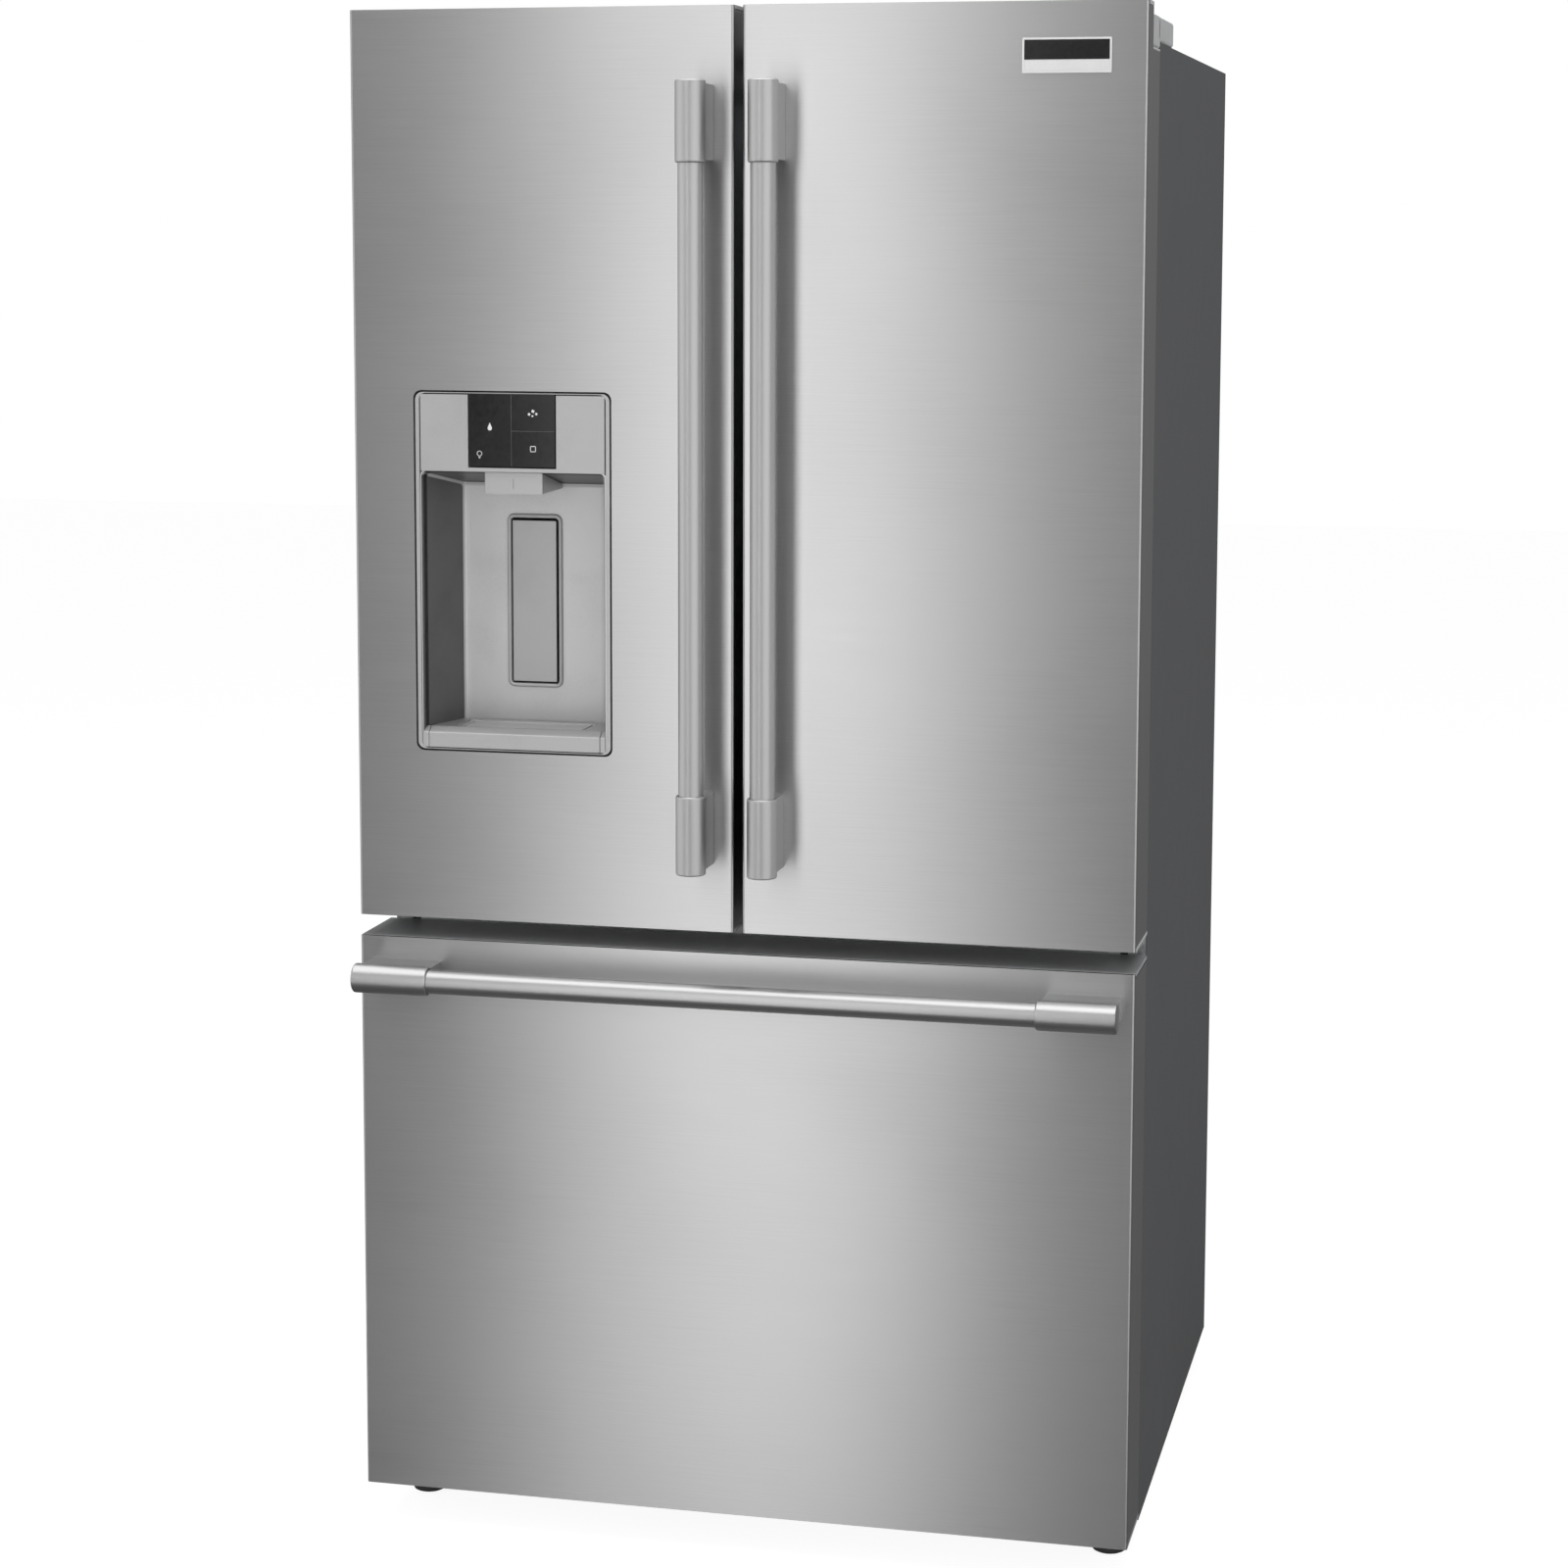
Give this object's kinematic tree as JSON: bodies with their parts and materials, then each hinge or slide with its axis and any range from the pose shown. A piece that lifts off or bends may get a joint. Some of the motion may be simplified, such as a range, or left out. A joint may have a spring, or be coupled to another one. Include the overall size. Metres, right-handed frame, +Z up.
{
  "type": "french door refrigerator",
  "caption": "French door refrigerator with tubular bar handles, a dispenser recess in the left door and a bottom freezer drawer.",
  "frame": {"origin": "on the floor, at the middle of the whole footprint", "axes": "+X to the right seen from the front, the doors face -Y, +Z up"},
  "size_m": [0.908, 0.91, 1.778],
  "materials": {
    "stainless": "horizontally brushed stainless sheet with a clear anti-smudge coat",
    "handle_metal": "brushed satin tube",
    "case_paint": "dark grey textured paint",
    "grey_plastic": "satin moulded",
    "silver_plastic": "metallic grey moulded",
    "black_glass": "glossy black",
    "liner": "vacuum-formed satin white",
    "clear": "clear moulded or tempered sheet",
    "gasket": "soft extruded vinyl",
    "black_plastic": "moulded and painted black",
    "zinc": "galvanised sheet",
    "foam": "rigid foam"
  },
  "bodies": {
    "cabinet": {"cabinet_wrapper": "case_paint", "hinge_cover_left": "grey_plastic", "hinge_cover_right": "grey_plastic", "fresh_food_liner": "liner", "freezer_liner": "liner", "ice_maker": "liner", "crisper_cover": "clear", "shelf_lower": "clear", "shelf_upper_left": "clear", "shelf_upper_right": "clear", "machine_cover": "black_plastic", "compressor": "black_plastic", "back_panel": "zinc", "base_frame": "zinc", "condenser": "zinc", "top_hinge_left": "zinc", "top_hinge_right": "zinc", "mid_hinge_left": "zinc", "mid_hinge_right": "zinc", "slide_rail_left": "zinc", "slide_rail_right": "zinc", "insulation_foam": "foam"},
    "left_door": {"left_door_skin": "stainless", "left_door_core": "liner", "left_door_gasket": "gasket", "left_door_bin": "clear", "left_handle_bar": "handle_metal", "left_handle_mount_top": "handle_metal", "left_handle_mount_bottom": "handle_metal", "dispenser_housing": "silver_plastic", "dispenser_glass": "black_glass", "dispenser_nozzle": "silver_plastic", "drip_tray": "silver_plastic"},
    "paddle": {"dispenser_paddle": "silver_plastic"},
    "mullion": {"flipper_mullion": "grey_plastic"},
    "right_door": {"right_door_skin": "stainless", "right_door_core": "liner", "right_door_gasket": "gasket", "right_door_bin": "clear", "right_handle_bar": "handle_metal", "right_handle_mount_top": "handle_metal", "right_handle_mount_bottom": "handle_metal"},
    "drawer": {"drawer_skin": "stainless", "drawer_core": "liner", "drawer_gasket": "gasket", "drawer_handle_bar": "handle_metal", "drawer_handle_mount_left": "handle_metal", "drawer_handle_mount_right": "handle_metal", "drawer_frame": "zinc", "freezer_basket_lower": "clear"},
    "upper_basket": {"freezer_basket_upper": "clear"},
    "middle_rail_left": {"rail_middle_left": "zinc"},
    "middle_rail_right": {"rail_middle_right": "zinc"},
    "crisper_drawer_left": {"crisper_left": "clear"},
    "crisper_drawer_right": {"crisper_right": "clear"},
    "foot_left": {"leveling_foot_left": "black_plastic"},
    "foot_right": {"leveling_foot_right": "black_plastic"},
    "roller_left": {"rear_roller_left": "black_plastic"},
    "roller_right": {"rear_roller_right": "black_plastic"},
    "fan": {"condenser_fan": "grey_plastic"}
  },
  "joints": [
    {"name": "left_door_hinge", "type": "hinge", "parent": "cabinet", "child": "left_door", "pos_m": [-0.436, -0.3, 1.23], "axis": [0, 0, -1], "range_deg": [0, 120]},
    {"name": "right_door_hinge", "type": "hinge", "parent": "cabinet", "child": "right_door", "pos_m": [0.436, -0.3, 1.23], "axis": [0, 0, 1], "range_deg": [0, 120]},
    {"name": "mullion_fold", "type": "hinge", "parent": "left_door", "child": "mullion", "pos_m": [-0.036, -0.249, 1.231], "axis": [0, 0, -1], "range_deg": [0, 90]},
    {"name": "paddle_press", "type": "hinge", "parent": "left_door", "child": "paddle", "pos_m": [-0.26475, -0.297, 1.19], "axis": [1, 0, 0], "range_deg": [0, 8], "stiffness_Nm_per_rad": 0.6, "springref_deg": -11.46},
    {"name": "freezer_drawer_slide", "type": "slide", "parent": "cabinet", "child": "drawer", "axis": [0, -1, 0], "range_m": [0, 0.42]},
    {"name": "middle_rail_left_slide", "type": "slide", "parent": "cabinet", "child": "middle_rail_left", "axis": [0, -1, 0], "range_m": [0, 0.21]},
    {"name": "middle_rail_right_slide", "type": "slide", "parent": "cabinet", "child": "middle_rail_right", "axis": [0, -1, 0], "range_m": [0, 0.21]},
    {"name": "upper_basket_slide", "type": "slide", "parent": "drawer", "child": "upper_basket", "axis": [0, 1, 0], "range_m": [0, 0.13]},
    {"name": "crisper_left_slide", "type": "slide", "parent": "cabinet", "child": "crisper_drawer_left", "axis": [0, -1, 0], "range_m": [0, 0.07]},
    {"name": "crisper_right_slide", "type": "slide", "parent": "cabinet", "child": "crisper_drawer_right", "axis": [0, -1, 0], "range_m": [0, 0.07]},
    {"name": "foot_left_screw", "type": "slide", "parent": "cabinet", "child": "foot_left", "axis": [0, 0, -1], "range_m": [0, 0.012]},
    {"name": "foot_right_screw", "type": "slide", "parent": "cabinet", "child": "foot_right", "axis": [0, 0, -1], "range_m": [0, 0.012]},
    {"name": "roller_left_spin", "type": "hinge", "parent": "cabinet", "child": "roller_left", "pos_m": [-0.4225, 0.4, 0.017], "axis": [1, 0, 0], "continuous": true},
    {"name": "roller_right_spin", "type": "hinge", "parent": "cabinet", "child": "roller_right", "pos_m": [0.4225, 0.4, 0.017], "axis": [1, 0, 0], "continuous": true},
    {"name": "condenser_fan_spin", "type": "hinge", "parent": "cabinet", "child": "fan", "pos_m": [0.012, 0.36, 0.145], "axis": [1, 0, 0], "continuous": true}
  ],
  "couplings": [
    {"joint": "middle_rail_left_slide", "follows": "freezer_drawer_slide", "ratio": 0.5},
    {"joint": "middle_rail_right_slide", "follows": "freezer_drawer_slide", "ratio": 0.5}
  ]
}
